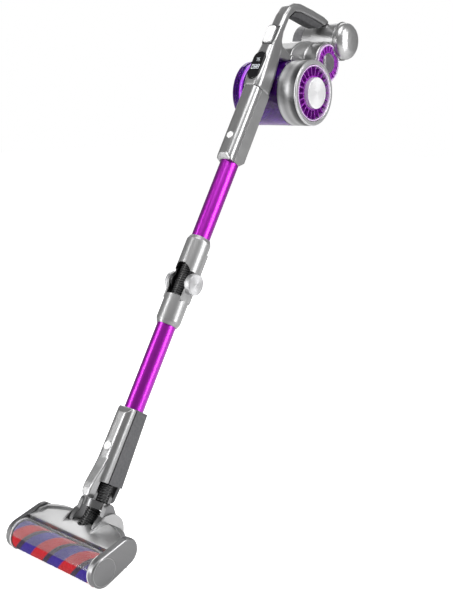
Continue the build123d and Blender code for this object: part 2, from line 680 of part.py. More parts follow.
def head_cover():
    outer = extrude(head_plan(0), amount=80) & side_plate(cover_side(0), -120, 120)
    room = (
        extrude(head_plan(2.6), amount=80) & side_plate(cover_side(2.6), -120, 120)
        & block(-120, 120, 38, 120, 0, 80)
    )
    cover = outer - room - block(-120, 120, 0, 120, 0, 12) + cover_rim()
    chamber = rod_x(WINDOW_R + 0.3, -CAP_INNER, CAP_INNER, WINDOW_Y, ROLLER_Z)
    cover = cover - chamber - block(-120, 120, 0, 19.5, 0, 80)
    for inner, outer_x in mirrored((38.4, 42)):
        cover = cover + side_plate(pivot_fin(), inner, outer_x)
    for inner, outer_x in mirrored((27, 39)):
        cover = cover - rod_x(DISC_R + 2.2, inner, outer_x, PITCH_Y, PITCH_Z)
        cover = cover - block(inner, outer_x, PITCH_Y - 5, 130, 0, 80)
    cover = cover - block(-27.5, 27.5, 64, 130, 0, 80)
    ear_face = make_hull(
        (Pos(PITCH_Y, PITCH_Z) * Circle(11)).edges() + (Pos(57, 51.3) * Circle(13)).edges()
    )
    for inner, outer_x in mirrored((19.6, 26.8)):
        ear = side_plate(ear_face, inner, outer_x)
        cover = cover + ear - rod_x(PIN_R + PIN_PLAY, inner - 1, outer_x + 1, PITCH_Y, PITCH_Z)
    cover = cover + block(-27.5, 27.5, 61.4, 64, 12, 50)
    duct = Pos(0, 56, 50) * Rot(-45, 0, 0) * Cylinder(DUCT_R, 50)
    cover = cover - duct - block(-22, 22, 25, 40, 24, 50)
    for x_pos in SCREW_XS:
        post = rod_z(4, 12, COVER_TOP - 2, x_pos, SCREW_Y)
        cover = cover + post - rod_z(1.6, 11, 26, x_pos, SCREW_Y)
    return cover


def head_base():
    base = extrude(head_plan(0), amount=3.6) & block(-111, 111, 39, 98, -1, 10)
    base = Pos(0, 0, 8.2) * base
    base = base - block(-39, 39, 63, 130, 0, 30)
    base = base + block(-111, 111, 39, 42, 6, 9)
    for side in (-1, 1):
        wheel_x = side * WHEEL_X
        base = base - block(wheel_x - 9, wheel_x + 9, WHEEL_Y - 11, WHEEL_Y + 11, 0, 30)
        for bracket in (wheel_x - 9, wheel_x + 9):
            ear = block(bracket - 1.5, bracket + 1.5, WHEEL_Y - 6, WHEEL_Y + 4, 4.8, 11.8)
            base = base + ear - rod_x(1.5, bracket - 3, bracket + 3, WHEEL_Y, WHEEL_R + 0.2)
    for x_pos in SCREW_XS:
        base = base - rod_z(1.7, 5, 20, x_pos, SCREW_Y) - rod_z(3.2, 5, 9.6, x_pos, SCREW_Y)
    return base


def end_cap(side):
    """Egg-shaped side wall with a round seam in its face and the roller's bearing stub."""
    face = make_hull(
        (Pos(0, CAP_FRONT_Z) * Circle(CAP_FRONT_R)).edges()
        + (Pos(CAP_BACK_Y, CAP_BACK_Z) * Circle(CAP_BACK_R)).edges()
    )
    wall = side_plate(face, *sorted((side * CAP_INNER, side * HEAD_HALF)))
    wall = fillet(wall.faces().sort_by(Axis.X)[-1 if side > 0 else 0].edges(), 3.5)
    seam_span = sorted((side * (HEAD_HALF - 1), side * (HEAD_HALF + 1)))
    seam = ring_x(CAP_FRONT_R - 3.5, CAP_FRONT_R - 4.6, *seam_span, 0, CAP_FRONT_Z)
    stub = rod_x(7, *sorted((side * (CAP_INNER - 7), side * (CAP_INNER + 1))), 0, ROLLER_Z)
    return wall - seam + stub


def roller_parts():
    core = ring_x(CORE_R, CORE_R - 2, -ROLLER_HALF, ROLLER_HALF, 0, ROLLER_Z)
    for x0, x1 in mirrored((ROLLER_HALF - 5.5, ROLLER_HALF)):
        core = core + ring_x(CORE_R, 7.06, x0, x1, 0, ROLLER_Z)
    motor = rod_x(13, -98, -20, 0, ROLLER_Z) + rod_x(5, 0.2 - CAP_INNER + 7, -98, 0, ROLLER_Z)
    return {
        "roller_core": core,
        "roller_plush": ring_x(ROLLER_R, CORE_R, -ROLLER_HALF, ROLLER_HALF, 0, ROLLER_Z),
        "roller_motor": motor,
    }


def wheel_parts():
    parts = {}
    axles = []
    for side, name in ((-1, "rear_wheel_left"), (1, "rear_wheel_right")):
        x_mid = side * WHEEL_X
        wheel = ring_x(WHEEL_R, 1.55, x_mid - 6, x_mid + 6, WHEEL_Y, WHEEL_R + 0.2)
        parts[name] = fillet(wheel.edges().filter_by(GeomType.CIRCLE).filter_by(
            lambda edge: edge.radius > 5), 1.2)
        axles.append(rod_x(1.5, x_mid - 10.5, x_mid + 10.5, WHEEL_Y, WHEEL_R + 0.2))
    return parts | {"wheel_axles": Compound(children=axles)}


def head_parts():
    window = ring_x(WINDOW_R, WINDOW_R - 1.8, -CAP_INNER + 0.4, CAP_INNER - 0.4, WINDOW_Y, ROLLER_Z)
    window = window & side_plate(polygon([
        (WINDOW_Y, ROLLER_Z), (-60, 51), (-60, 90), (19.3, 90), (19.3, 50),
    ]), -120, 120)
    rings = []
    for x0, x1 in mirrored((CAP_INNER - 3.2, CAP_INNER - 0.1)):
        ring = ring_x(31, 28.8, x0, x1, WINDOW_Y, ROLLER_Z)
        rings.append(ring & block(-130, 130, -40, 19, 4, 80))
    screws = [
        rod_z(3, 8.4, 9.6, x_pos, SCREW_Y) + rod_z(1.6, 9.6, 24, x_pos, SCREW_Y)
        for x_pos in SCREW_XS
    ]
    pitch_hose = ribbed(15.6, 2.4, 5.2, -23, 20.5, 12)
    return roller_parts() | wheel_parts() | {
        "end_cap_left": end_cap(-1),
        "end_cap_right": end_cap(1),
        "head_cover": head_cover(),
        "head_base": head_base(),
        "roller_window": window,
        "roller_trim_rings": Compound(children=rings),
        "squeegee_strip": block(-108, 108, 36.4, 38.8, 0.8, 11.8),
        "base_screws": Compound(children=screws),
        "pitch_bellows": Pos(0, 77.5, 68.5) * Rot(-42, 0, 0) * pitch_hose,
    }


def build_model():
    """Every named sub-part in the row frame."""
    parts = dict(head_parts())
    wand_groups = (
        head_neck_parts(), yoke_parts(), wand_parts(), main_neck_parts(), handle_parts(),
        dust_parts(), filter_parts(), motor_parts(), battery_parts(),
    )
    for group in wand_groups:
        parts.update({name: leaned(shape) for name, shape in group.items()})
    return parts


os.makedirs("parts", exist_ok=True)
model = build_model()
for node_name, node_shape in model.items():
    export_step(node_shape, f"parts/{node_name}.step")
print(len(model), "nodes")
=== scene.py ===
import json
import math

import bmesh
import bpy
import numpy as np
from mathutils import Matrix, Vector, noise


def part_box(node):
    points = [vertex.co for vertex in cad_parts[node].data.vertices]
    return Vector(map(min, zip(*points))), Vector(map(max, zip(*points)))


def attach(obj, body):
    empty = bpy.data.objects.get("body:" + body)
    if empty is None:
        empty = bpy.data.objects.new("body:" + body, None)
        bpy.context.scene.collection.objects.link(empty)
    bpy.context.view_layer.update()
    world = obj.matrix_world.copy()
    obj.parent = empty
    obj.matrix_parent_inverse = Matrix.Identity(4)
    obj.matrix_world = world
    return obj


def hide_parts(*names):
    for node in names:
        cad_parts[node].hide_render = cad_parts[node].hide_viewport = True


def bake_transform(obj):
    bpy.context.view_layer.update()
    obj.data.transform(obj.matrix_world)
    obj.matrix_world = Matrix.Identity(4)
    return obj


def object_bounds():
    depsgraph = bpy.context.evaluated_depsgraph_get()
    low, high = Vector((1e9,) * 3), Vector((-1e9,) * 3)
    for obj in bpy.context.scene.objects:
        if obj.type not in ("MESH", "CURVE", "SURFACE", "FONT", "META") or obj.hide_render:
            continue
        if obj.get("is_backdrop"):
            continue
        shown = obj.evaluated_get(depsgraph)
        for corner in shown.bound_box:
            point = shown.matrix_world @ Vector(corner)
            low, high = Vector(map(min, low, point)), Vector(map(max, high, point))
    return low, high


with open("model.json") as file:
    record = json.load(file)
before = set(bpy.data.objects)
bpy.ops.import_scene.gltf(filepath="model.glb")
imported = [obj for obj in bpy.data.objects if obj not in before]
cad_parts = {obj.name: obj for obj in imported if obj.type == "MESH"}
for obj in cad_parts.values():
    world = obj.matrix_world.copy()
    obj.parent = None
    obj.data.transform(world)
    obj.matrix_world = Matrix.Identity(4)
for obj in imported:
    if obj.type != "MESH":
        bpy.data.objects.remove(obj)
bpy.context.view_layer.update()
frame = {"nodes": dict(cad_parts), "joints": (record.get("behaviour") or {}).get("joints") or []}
NODES = frame["nodes"]
JOINTS = {joint["name"]: joint for joint in frame["joints"]}

# Directions and anchor points. All but ACROSS come from the record's joints.
ACROSS = Vector((1, 0, 0))
UP = -Vector(JOINTS["wand_pull"]["axis"]).normalized()
BACK = Vector(JOINTS["power_switch_press"]["axis"]).normalized()
FOLD = Vector(JOINTS["wand_fold"]["pos_m"])
TILT = Vector(JOINTS["head_tilt"]["pos_m"])
ROLLER = Vector(JOINTS["roller_spin"]["pos_m"])
IMPELLER = Vector(JOINTS["impeller_spin"]["pos_m"])


def centre(node):
    low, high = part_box(node)
    return (Vector(low) + Vector(high)) / 2


def on_wand(anchor, across, back, along):
    """A point given across, behind and along the wand line from an anchor, in metres."""
    return anchor + ACROSS * across + BACK * back + UP * along


# Node materials


class Finish:
    """A node material with one Principled shader and helpers that feed its sockets."""

    def __init__(self, name, **sockets):
        self.material = bpy.data.materials.new(name)
        self.material.use_nodes = True
        self.tree = self.material.node_tree
        self.shader = self.tree.nodes["Principled BSDF"]
        for key, value in sockets.items():
            self.shader.inputs[key.replace("_", " ")].default_value = value
        self.coordinates = self.add("ShaderNodeTexCoord")

    def add(self, kind, **settings):
        node = self.tree.nodes.new(kind)
        for key, value in settings.items():
            if key in node.inputs:
                node.inputs[key].default_value = value
            else:
                setattr(node, key, value)
        return node

    def link(self, output, target):
        self.tree.links.new(output, target)

    def mapped(self, scale=(1, 1, 1), rotation=(0, 0, 0)):
        """Object coordinates in metres, scaled, so that a texture is tied to the object."""
        mapping = self.add("ShaderNodeMapping")
        mapping.inputs["Scale"].default_value = scale
        mapping.inputs["Rotation"].default_value = rotation
        self.link(self.coordinates.outputs["Object"], mapping.inputs["Vector"])
        return mapping.outputs["Vector"]

    def noise(self, scale, detail=3.0, stretch=(1, 1, 1), rotation=(0, 0, 0)):
        texture = self.add("ShaderNodeTexNoise", Scale=scale, Detail=detail)
        self.link(self.mapped(stretch, rotation), texture.inputs["Vector"])
        return texture.outputs["Fac"]

    def ramp(self, factor, stops):
        ramp = self.add("ShaderNodeValToRGB")
        elements = ramp.color_ramp.elements
        while len(elements) < len(stops):
            elements.new(0.5)
        for element, (position, colour) in zip(elements, stops):
            element.position = position
            element.color = (*colour, 1)
        self.link(factor, ramp.inputs["Fac"])
        return ramp

    def span(self, factor, low, high):
        """Map a 0 to 1 value onto low to high."""
        stretch = self.add("ShaderNodeMapRange")
        stretch.inputs["To Min"].default_value = low
        stretch.inputs["To Max"].default_value = high
        self.link(factor, stretch.inputs["Value"])
        return stretch.outputs["Result"]

    def math(self, operation, first, second=None):
        node = self.add("ShaderNodeMath", operation=operation)
        for socket, value in zip(node.inputs, (first, second)):
            if value is None:
                continue
            if isinstance(value, (int, float)):
                socket.default_value = value
            else:
                self.link(value, socket)
        return node.outputs[0]

    def colour(self, factor, dark, light):
        ramp = self.ramp(factor, [(0.3, dark), (0.7, light)])
        self.link(ramp.outputs["Color"], self.shader.inputs["Base Color"])

    def roughness(self, factor, low, high):
        self.link(self.span(factor, low, high), self.shader.inputs["Roughness"])

    def bump(self, height, distance, strength=1.0):
        bump = self.add("ShaderNodeBump", Strength=strength, Distance=distance)
        self.link(height, bump.inputs["Height"])
        previous = self.shader.inputs["Normal"].links
        if previous:
            self.link(previous[0].from_socket, bump.inputs["Normal"])
        self.link(bump.outputs["Normal"], self.shader.inputs["Normal"])

    def radius_from(self, point):
        """Distance from a crosswise axis through a point, and the offset from the point."""
        offset = self.add("ShaderNodeVectorMath", operation="SUBTRACT")
        offset.inputs[1].default_value = point
        self.link(self.coordinates.outputs["Object"], offset.inputs[0])
        flat = self.add("ShaderNodeVectorMath", operation="MULTIPLY")
        flat.inputs[1].default_value = (0, 1, 1)
        self.link(offset.outputs[0], flat.inputs[0])
        length = self.add("ShaderNodeVectorMath", operation="LENGTH")
        self.link(flat.outputs[0], length.inputs[0])
        return length.outputs["Value"], offset.outputs[0]

    def wand_place(self, point):
        """Height along the wand line above a point of it, and distance from that line."""
        offset = self.add("ShaderNodeVectorMath", operation="SUBTRACT")
        offset.inputs[1].default_value = point
        self.link(self.coordinates.outputs["Object"], offset.inputs[0])
        along = self.add("ShaderNodeVectorMath", operation="DOT_PRODUCT")
        along.inputs[1].default_value = UP
        self.link(offset.outputs[0], along.inputs[0])
        line = self.add("ShaderNodeVectorMath", operation="PROJECT")
        line.inputs[1].default_value = UP
        self.link(offset.outputs[0], line.inputs[0])
        away = self.add("ShaderNodeVectorMath", operation="DISTANCE")
        self.link(offset.outputs[0], away.inputs[0])
        self.link(line.outputs[0], away.inputs[1])
        return along.outputs["Value"], away.outputs["Value"]


# The dark faces inside the fold lie within JOINT_SKIN of the wand line, and between
# JOINT_BELOW under the fold pin and JOINT_ABOVE over it.
JOINT_SKIN = 0.0243
JOINT_BELOW = 0.0315
JOINT_ABOVE = 0.057

# Noise cycles in a metre
TOOL_MARKS = 5200.0
BRUSH_LINES = 4200.0

# The width over which the drum's bands of painted highlight and painted shade are laid out
DRUM_SPAN = 0.05


def painted_metal_look(name, dark, light, roughness=0.29, metallic=0.85):
    """Satin metallic lacquer: fine flakes under a clear coat, faintly uneven."""
    look = Finish(name, Metallic=metallic, Coat_Weight=0.2, Coat_Roughness=0.2)
    look.colour(look.noise(9000, 2), dark, light)
    look.roughness(look.noise(60, 4), roughness - 0.05, roughness + 0.07)
    look.bump(look.noise(5200, 2), 0.00002, 0.25)
    return look.material


def joint_look(name, dark, light, inside):
    """The satin lacquer outside, and unpainted dark moulding on the faces inside the fold."""
    look = Finish(name, Metallic=0.72, Coat_Weight=0.2, Coat_Roughness=0.22)
    flakes = look.ramp(look.noise(9000, 2), [(0.3, dark), (0.7, light)])
    grain = look.ramp(look.noise(1400, 3), [(0.3, inside), (0.7, tuple(2 * c for c in inside))])
    along, off_axis = look.wand_place(FOLD)
    near = look.math("LESS_THAN", off_axis, JOINT_SKIN)
    low_end = look.math("GREATER_THAN", along, -JOINT_BELOW)
    high_end = look.math("LESS_THAN", along, JOINT_ABOVE)
    mask = look.math("MULTIPLY", near, look.math("MULTIPLY", low_end, high_end))
    mix = look.add("ShaderNodeMixRGB")
    look.link(mask, mix.inputs["Fac"])
    look.link(flakes.outputs["Color"], mix.inputs["Color1"])
    look.link(grain.outputs["Color"], mix.inputs["Color2"])
    look.link(mix.outputs["Color"], look.shader.inputs["Base Color"])
    look.roughness(look.noise(60, 4), 0.31, 0.43)
    look.bump(look.noise(5200, 2), 0.00002, 0.25)
    return look.material


def moulded_look(name, dark, light, roughness=0.45, grain=2600, depth=0.00004):
    """Moulded plastic with a fine spark-eroded grain."""
    look = Finish(name, Specular_IOR_Level=0.45)
    look.colour(look.noise(180, 5), dark, light)
    look.roughness(look.noise(90, 4), roughness - 0.07, roughness + 0.09)
    look.bump(look.noise(grain, 3), depth, 0.6)
    return look.material


def gloss_look(name, dark, light, roughness=0.16, coat=0.5):
    """Polished moulded plastic, with the slight waviness of a moulding."""
    look = Finish(name, Coat_Weight=coat, Coat_Roughness=0.05)
    look.colour(look.noise(35, 3), dark, light)
    look.roughness(look.noise(70, 4), roughness - 0.04, roughness + 0.06)
    look.bump(look.noise(40, 2), 0.00025, 0.1)
    return look.material


def anodised_look(name, dark, light):
    """Drawn aluminium tube, dyed, with faint lines along its length."""
    look = Finish(name, Metallic=1.0, Coat_Weight=0.25, Coat_Roughness=0.1)
    angle = math.atan2(UP.y, UP.z)
    lines = look.noise(2200, 3, stretch=(1, 1, 0.006), rotation=(angle, 0, 0))
    look.colour(lines, dark, light)
    look.roughness(lines, 0.32, 0.44)
    look.bump(lines, 0.00001, 0.25)
    return look.material


def spun_look(name, point, tint=(0.80, 0.80, 0.82), metallic=0.9):
    """Turned aluminium face: concentric tool marks that stretch the highlights."""
    look = Finish(name, Metallic=metallic, Anisotropic=0.6)
    radius, _ = look.radius_from(point)
    grooves = look.add("ShaderNodeTexNoise", noise_dimensions="1D", Scale=1.0, Detail=4.0)
    look.link(look.math("MULTIPLY", radius, TOOL_MARKS), grooves.inputs["W"])
    shade = tuple(channel * 0.86 for channel in tint)
    look.colour(grooves.outputs["Fac"], shade, tint)
    look.roughness(grooves.outputs["Fac"], 0.3, 0.42)
    look.bump(grooves.outputs["Fac"], 0.00002, 0.5)
    tangent = look.add("ShaderNodeTangent", direction_type="RADIAL", axis="X")
    look.link(tangent.outputs["Tangent"], look.shader.inputs["Tangent"])
    return look.material


def drum_look(name, point):
    """Brushed drum with painted light: soft bright and dark bands of painted highlight and
    painted shade, then a dark band of painted shade before the pale outer lip.
    """
    look = Finish(name, Metallic=0.85)
    radius, offset = look.radius_from(point)
    parts = look.add("ShaderNodeSeparateXYZ")
    look.link(offset, parts.inputs[0])
    lines = look.add("ShaderNodeTexNoise", noise_dimensions="1D", Scale=1.0, Detail=4.0)
    run = look.math("SUBTRACT", parts.outputs["X"], radius)
    look.link(look.math("MULTIPLY", run, BRUSH_LINES), lines.inputs["W"])
    place = look.math("ADD", look.math("MULTIPLY", parts.outputs["X"], 1 / DRUM_SPAN), 0.5)
    # Painted highlight and painted shade in bands along the drum's axis, ending in the pale lip
    body = look.ramp(place, [
        (0.0, (0.30, 0.30, 0.31)), (0.12, (0.60, 0.60, 0.61)), (0.35, (0.34, 0.34, 0.345)),
        (0.55, (0.46, 0.46, 0.465)), (0.70, (0.13, 0.13, 0.133)), (0.90, (0.05, 0.05, 0.052)),
        (0.93, (0.62, 0.62, 0.63)),
    ])
    mix = look.add("ShaderNodeMixRGB", blend_type="MULTIPLY", Fac=1.0)
    shade = look.ramp(lines.outputs["Fac"], [(0.3, (0.82, 0.82, 0.82)), (0.7, (1.0, 1.0, 1.0))])
    look.link(body.outputs["Color"], mix.inputs["Color1"])
    look.link(shade.outputs["Color"], mix.inputs["Color2"])
    look.link(mix.outputs["Color"], look.shader.inputs["Base Color"])
    look.roughness(lines.outputs["Fac"], 0.3, 0.42)
    look.bump(lines.outputs["Fac"], 0.00002, 0.4)
    return look.material


def fins_look(name, point, lip):
    """Deep purple moulding whose outer lip, beyond a radius, is pale."""
    look = Finish(name, Coat_Weight=0.4, Coat_Roughness=0.1)
    radius, _ = look.radius_from(point)
    deep = look.ramp(look.noise(60, 3), [(0.3, (0.17, 0.012, 0.25)), (0.7, (0.27, 0.02, 0.38))])
    mix = look.add("ShaderNodeMixRGB")
    pale = look.ramp(look.noise(60, 3), [(0.3, (0.48, 0.34, 0.54)), (0.7, (0.60, 0.44, 0.66))])
    look.link(look.math("GREATER_THAN", radius, lip), mix.inputs["Fac"])
    look.link(deep.outputs["Color"], mix.inputs["Color1"])
    look.link(pale.outputs["Color"], mix.inputs["Color2"])
    look.link(mix.outputs["Color"], look.shader.inputs["Base Color"])
    look.roughness(look.noise(70, 4), 0.2, 0.32)
    return look.material


def clear_look(name, colour, roughness=0.04, ior=1.49):
    """Tinted clear plastic with faint flow marks."""
    look = Finish(name, Transmission_Weight=0.92, IOR=ior)
    deep = tuple(channel * 0.8 for channel in colour)
    look.colour(look.noise(30, 2), deep, colour)
    look.roughness(look.noise(120, 4), roughness, roughness + 0.05)
    look.bump(look.noise(30, 2), 0.0003, 0.08)
    return look.material


def rubber_look(name, dark, light, grain=1500):
    look = Finish(name, Specular_IOR_Level=0.3)
    look.colour(look.noise(140, 5), dark, light)
    look.roughness(look.noise(220, 4), 0.5, 0.68)
    look.bump(look.noise(grain, 4), 0.00008, 0.5)
    return look.material


# The pile's bands: the length of one set along the roller, how many sets wind side by side,
# how far they advance in a radian, and where in the set they start.
PLUSH_REPEAT = 0.080
PLUSH_SETS = 2
PLUSH_LEAD = PLUSH_SETS * PLUSH_REPEAT / (2 * math.pi)
PLUSH_START = 0.5286


def plush_look(name):
    """Soft pile in helical bands: red, a narrow charcoal and blue-violet, with felted fibres."""
    look = Finish(name, Roughness=0.95, Specular_IOR_Level=0.1, Sheen_Weight=0.12,
                  Sheen_Roughness=0.5)
    _, offset = look.radius_from(ROLLER)
    parts = look.add("ShaderNodeSeparateXYZ")
    look.link(offset, parts.inputs[0])
    angle = look.math("ARCTAN2", parts.outputs["Z"], parts.outputs["Y"])
    ragged = look.span(look.noise(420, 4), -0.0016, 0.0016)
    helix = look.math("ADD", parts.outputs["X"], look.math("MULTIPLY", angle, PLUSH_LEAD))
    place = look.math("DIVIDE", look.math("ADD", helix, ragged), PLUSH_REPEAT)
    turn = look.math("FRACT", look.math("ADD", place, PLUSH_START))
    red, charcoal, blue = (0.60, 0.016, 0.026), (0.055, 0.04, 0.07), (0.05, 0.025, 0.30)
    bands = look.ramp(turn, [
        (0.0, blue), (0.012, red), (0.43, red), (0.445, charcoal), (0.592, charcoal),
        (0.607, blue), (0.988, blue), (1.0, red),
    ])
    fibre = look.noise(1500, 4, stretch=(1, 0.45, 0.45))
    mix = look.add("ShaderNodeMixRGB", blend_type="MULTIPLY", Fac=0.75)
    shade = look.ramp(fibre, [(0.32, (0.35, 0.35, 0.35)), (0.66, (1.25, 1.25, 1.25))])
    look.link(bands.outputs["Color"], mix.inputs["Color1"])
    look.link(shade.outputs["Color"], mix.inputs["Color2"])
    look.link(mix.outputs["Color"], look.shader.inputs["Base Color"])
    look.bump(fibre, 0.0009, 0.9)
    return look.material


def paper_look(name):
    look = Finish(name, Roughness=0.85, Specular_IOR_Level=0.2)
    look.colour(look.noise(700, 5), (0.66, 0.65, 0.60), (0.82, 0.81, 0.77))
    look.bump(look.noise(1800, 4), 0.00006, 0.6)
    return look.material


def lit_look(name, colour, strength):
    """Lit display segments, a little uneven in brightness."""
    look = Finish(name, Roughness=0.4)
    glow = look.ramp(look.noise(900, 2), [(0.2, tuple(c * 0.85 for c in colour)), (0.8, colour)])
    look.link(glow.outputs["Color"], look.shader.inputs["Emission Color"])
    look.link(glow.outputs["Color"], look.shader.inputs["Base Color"])
    look.shader.inputs["Emission Strength"].default_value = strength
    return look.material


silver = painted_metal_look("satin_silver", (0.31, 0.31, 0.312), (0.41, 0.41, 0.412))
silver_joint = joint_look(
    "satin_silver_joint", (0.28, 0.28, 0.282), (0.37, 0.37, 0.372), (0.012, 0.012, 0.013))
silver_light = painted_metal_look("satin_light_silver", (0.40, 0.40, 0.402), (0.50, 0.50, 0.502))
silver_dark = painted_metal_look("satin_grey_silver", (0.17, 0.17, 0.173), (0.23, 0.23, 0.233))
dome_grey = gloss_look("dome_grey", (0.075, 0.07, 0.08), (0.11, 0.10, 0.115), 0.24)
tube_purple = anodised_look("anodised_purple", (0.30, 0.012, 0.34), (0.46, 0.03, 0.51))
grey_plastic = moulded_look("grey_moulding", (0.10, 0.10, 0.105), (0.15, 0.15, 0.155))
neck_grey = moulded_look("neck_moulding", (0.065, 0.065, 0.07), (0.095, 0.095, 0.10), 0.42)
dark_plastic = moulded_look("dark_moulding", (0.018, 0.018, 0.02), (0.035, 0.035, 0.038), 0.5)
white_plastic = gloss_look("white_button", (0.80, 0.80, 0.80), (0.90, 0.90, 0.90), 0.3)
black_gloss = gloss_look("black_glass", (0.003, 0.003, 0.004), (0.006, 0.006, 0.007), 0.14, 0.0)
purple_gloss = gloss_look("purple_gloss", (0.13, 0.008, 0.27), (0.20, 0.015, 0.40))
clear_purple = clear_look("clear_purple", (0.26, 0.010, 0.58))
smoked = clear_look("smoked_clear", (0.96, 0.96, 0.965), 0.012, 1.12)
black_rubber = rubber_look("black_rubber", (0.006, 0.006, 0.006), (0.016, 0.016, 0.016))
hose_black = gloss_look("hose_black", (0.008, 0.008, 0.009), (0.018, 0.018, 0.019), 0.3)
grip_rubber = rubber_look("grip_rubber", (0.035, 0.035, 0.037), (0.06, 0.06, 0.063), 2400)
plush = plush_look("soft_pile")
paper = paper_look("pleated_paper")
steel = painted_metal_look("turned_steel", (0.42, 0.42, 0.42), (0.58, 0.58, 0.58), 0.3)
circuit = gloss_look("solder_mask", (0.01, 0.09, 0.03), (0.02, 0.16, 0.05), 0.35)
cell_wrap = gloss_look("cell_wrap", (0.03, 0.14, 0.30), (0.05, 0.22, 0.42), 0.2)
lit_white = lit_look("lit_segments", (0.85, 0.9, 0.95), 0.9)

DRUM_AXIS = centre("filter_drum")
LOOKS = {
    silver: ["neck_front_shell", "main_neck_front", "handle_left", "handle_right",
             "motor_housing", "battery_sleeve"],
    silver_joint: ["lower_joint_housing", "upper_joint_housing"],
    silver_light: ["head_cover", "main_neck_rear", "battery_cap"],
    silver_dark: ["yoke", "end_cap_left", "end_cap_right", "switch_bezel",
                  "fold_release_slider"],
    dome_grey: ["exhaust_domes"],
    neck_grey: ["neck_rear_shell"],
    tube_purple: ["lower_tube", "upper_tube"],
    grey_plastic: ["battery_shell"],
    dark_plastic: ["head_base", "rear_wheel_left", "rear_wheel_right", "inlet_duct",
                   "cyclone_shroud", "impeller"],
    white_plastic: ["head_release_button", "wand_release_button", "power_switch",
                    "battery_button", "roller_trim_rings"],
    black_gloss: ["display_lens"],
    purple_gloss: ["lid_latch", "cyclone_cones"],
    fins_look("filter_fins", DRUM_AXIS, 0.0558): ["filter_fin_ring"],
    fins_look("exhaust_fins", IMPELLER, 0.0372): ["exhaust_rings"],
    clear_purple: ["dust_cup", "dust_cup_lid"],
    smoked: ["roller_window"],
    black_rubber: ["squeegee_strip"],
    grip_rubber: ["grip_rubber"],
    paper: ["pleated_filter"],
    steel: ["roller_core", "roller_motor", "wheel_axles", "base_screws", "pitch_pins",
            "fold_pins", "lid_hinge_pin", "fan_motor"],
    circuit: ["circuit_boards"],
    cell_wrap: ["battery_cells"],
    spun_look("spun_disc", centre("filter_disc"), (0.90, 0.90, 0.91), 0.55): ["filter_disc"],
    drum_look("brushed_drum", DRUM_AXIS): ["filter_drum"],
    spun_look("spun_knobs", FOLD, (0.62, 0.62, 0.63)): ["fold_knobs"],
}


USUAL_EDGE = 0.0005
EDGE_ROUND = {"head_cover": 0.0008, "yoke": 0.001}
SHARP_ANGLE = math.radians(32)
WELD_GAP = 0.00001


def dress(node, material):
    """Give a carried-over CAD node its finish and rounded, smoothly shaded edges."""
    thing = NODES[node]
    thing.data.materials.clear()
    thing.data.materials.append(material)
    weld = thing.modifiers.new("weld", "WELD")
    weld.merge_threshold = WELD_GAP
    bevel = thing.modifiers.new("edge_round", "BEVEL")
    bevel.width = EDGE_ROUND.get(node, USUAL_EDGE)
    bevel.segments = 2
    bevel.limit_method = "ANGLE"
    bevel.angle_limit = SHARP_ANGLE
    thing.data.polygons.foreach_set("use_smooth", [True] * len(thing.data.polygons))
    normals = thing.modifiers.new("even_shading", "WEIGHTED_NORMAL")
    normals.weight = 60


for look, names in LOOKS.items():
    for node_name in names:
        dress(node_name, look)


# Pieces made here: hoses, smoothed skins, the roller's pile, rings and digits


def new_piece(name, shape, body, material):
    """A smooth-shaded mesh that rides on the body, or on none if no body is given."""
    mesh = bpy.data.meshes.new(name)
    shape.to_mesh(mesh)
    shape.free()
    mesh.polygons.foreach_set("use_smooth", [True] * len(mesh.polygons))
    piece = bpy.data.objects.new(name, mesh)
    bpy.context.scene.collection.objects.link(piece)
    piece.data.materials.append(material)
    if body:
        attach(piece, body)
    return piece


def turned(outline, anchor, axis, steps=72):
    """A closed (radius, height) outline turned about an axis through the anchor."""
    axis = Vector(axis).normalized()
    side = axis.orthogonal().normalized()
    other = axis.cross(side)
    shape = bmesh.new()
    rings = []
    for step in range(steps):
        angle = 2 * math.pi * step / steps
        out = side * math.cos(angle) + other * math.sin(angle)
        rings.append([shape.verts.new(anchor + out * r + axis * h) for r, h in outline])
    for ring, after in zip(rings, rings[1:] + rings[:1]):
        for index in range(len(outline)):
            ahead = (index + 1) % len(outline)
            shape.faces.new((ring[index], ring[ahead], after[ahead], after[index]))
    bmesh.ops.recalc_face_normals(shape, faces=shape.faces)
    return shape


RIB_DEPTH = 0.0024
RIB_STEPS = 8
RIB_FULLNESS = 0.7
HOSE_WALL = 0.0012


def hose_outline(length, radius, pitch):
    """Rounded ribs outside and a plain bore inside, from height 0 to the length."""
    ribs = max(2, round(length / pitch))
    steps = RIB_STEPS * ribs
    outside = []
    for index in range(steps + 1):
        wave = 0.5 - 0.5 * math.cos(2 * math.pi * ribs * index / steps)
        dip = RIB_DEPTH * (1 - wave ** RIB_FULLNESS)
        outside.append((radius - dip, length * index / steps))
    bore = radius - RIB_DEPTH - HOSE_WALL
    inside = [(bore, length * index / ribs) for index in range(ribs, -1, -1)]
    return outside + inside


def hose(name, node, bottom, top, radius, pitch, low_body, high_body):
    """A straight ribbed hose between two points, in place of the node."""
    line = top - bottom
    shape = turned(hose_outline(line.length, radius, pitch), bottom, line)
    piece = new_piece(name, shape, None, hose_black)
    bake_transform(piece)
    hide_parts(node)


# Where each hose starts and ends, measured along it from its joint or its middle
FOLD_HOSE = (-0.0313, 0.0563)
LEAN_HOSE = (-0.0112, 0.0247)
PITCH_HOSE_HALF = 0.0215
PITCH_HOSE_LEAN = math.radians(42)

fold_ends = [on_wand(FOLD, 0, 0, along) for along in FOLD_HOSE]
lean_ends = [on_wand(TILT, 0, 0, along) for along in LEAN_HOSE]
pitch_middle = centre("pitch_bellows")
pitch_half = Vector((0, math.sin(PITCH_HOSE_LEAN), math.cos(PITCH_HOSE_LEAN))) * PITCH_HOSE_HALF
pitch_ends = [pitch_middle - pitch_half, pitch_middle + pitch_half]
